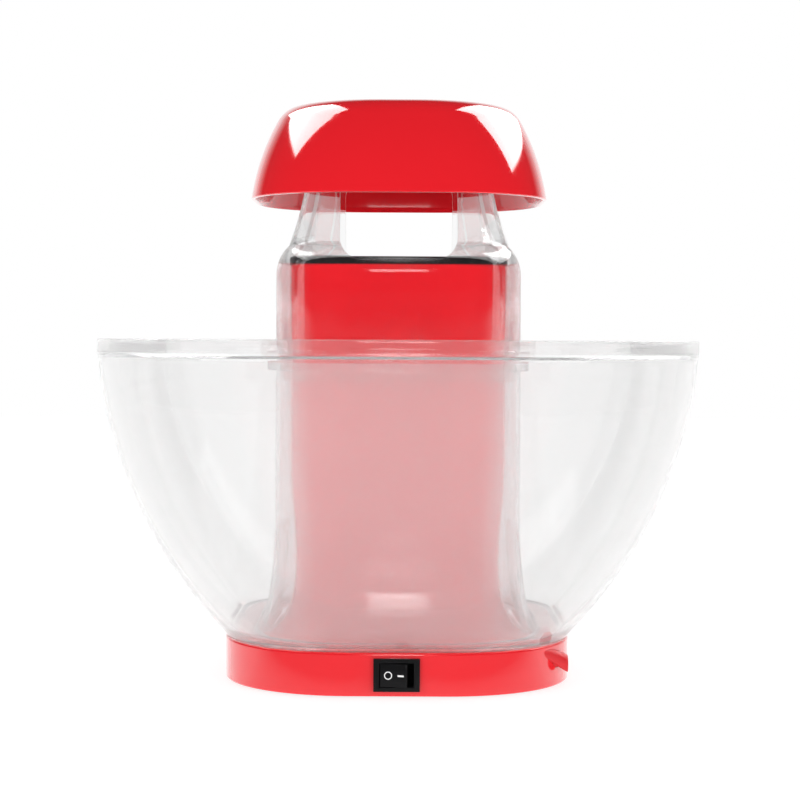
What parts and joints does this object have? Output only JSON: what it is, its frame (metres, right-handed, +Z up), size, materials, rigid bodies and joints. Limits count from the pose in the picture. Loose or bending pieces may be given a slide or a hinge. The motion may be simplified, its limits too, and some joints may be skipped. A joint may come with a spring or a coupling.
{
  "type": "popcorn maker",
  "caption": "Hot-air popcorn maker with a red tower on a squared base, a clear serving bowl round it, a clear windowed chute and a lift-off cap.",
  "frame": {"origin": "centre of the plane that the rubber feet rest on", "axes": "+Z up through the tower, -Y toward the front where the switch is, +X to the right seen from the front"},
  "size_m": [0.2812, 0.2812, 0.275],
  "materials": {
    "red_gloss": "high gloss",
    "black_gloss": "gloss",
    "black_satin": "satin",
    "clear_plastic": "clear, polished",
    "aluminium": "drawn, satin",
    "steel": "zinc plated",
    "mica": "pressed mica sheet",
    "element": "oxidised resistance wire",
    "brass": "satin",
    "board": "solder resist",
    "fan_plastic": "satin",
    "lead_sleeve": "silicone sleeve",
    "rubber": "matte"
  },
  "bodies": {
    "base": {"main_housing": "red_gloss", "chamber_ring": "black_gloss", "popping_chamber": "aluminium", "air_duct": "steel", "mica_liner": "mica", "mica_card_lower": "mica", "mica_card_upper": "mica", "heating_coil": "element", "thermostat": "black_satin", "thermal_fuse": "brass", "ring_screws": "steel", "blower_housing": "black_satin", "blower_screws": "steel", "motor_can": "steel", "motor_endcap": "black_satin", "motor_screws": "steel", "rectifier_board": "board", "rectifier_diodes": "black_satin", "bottom_cover": "black_satin", "cover_screws": "steel", "rubber_feet": "rubber", "switch_body": "black_gloss", "switch_terminals": "brass", "cord_outlet": "red_gloss", "internal_leads": "lead_sleeve"},
    "fan": {"fan_impeller": "fan_plastic", "motor_shaft": "steel"},
    "rocker": {"switch_rocker": "black_gloss"},
    "bowl": {"serving_bowl": "clear_plastic"},
    "chute": {"chute": "clear_plastic"},
    "cap": {"cap": "red_gloss"}
  },
  "joints": [
    {"name": "fan_spin", "type": "hinge", "parent": "base", "child": "fan", "pos_m": [0, 0, 0.06], "axis": [0, 0, 1], "continuous": true},
    {"name": "rocker_tilt", "type": "hinge", "parent": "base", "child": "rocker", "pos_m": [0, -0.0788, 0.0111], "axis": [0, 0, 1], "range_deg": [0, 24]},
    {"name": "bowl_lift", "type": "slide", "parent": "base", "child": "bowl", "axis": [0, 0, 1], "range_m": [0, 0.185]},
    {"name": "chute_lift", "type": "slide", "parent": "bowl", "child": "chute", "axis": [0, 0, 1], "range_m": [0, 0.062]},
    {"name": "cap_lift", "type": "slide", "parent": "chute", "child": "cap", "axis": [0, 0, 1], "range_m": [0, 0.03]}
  ]
}
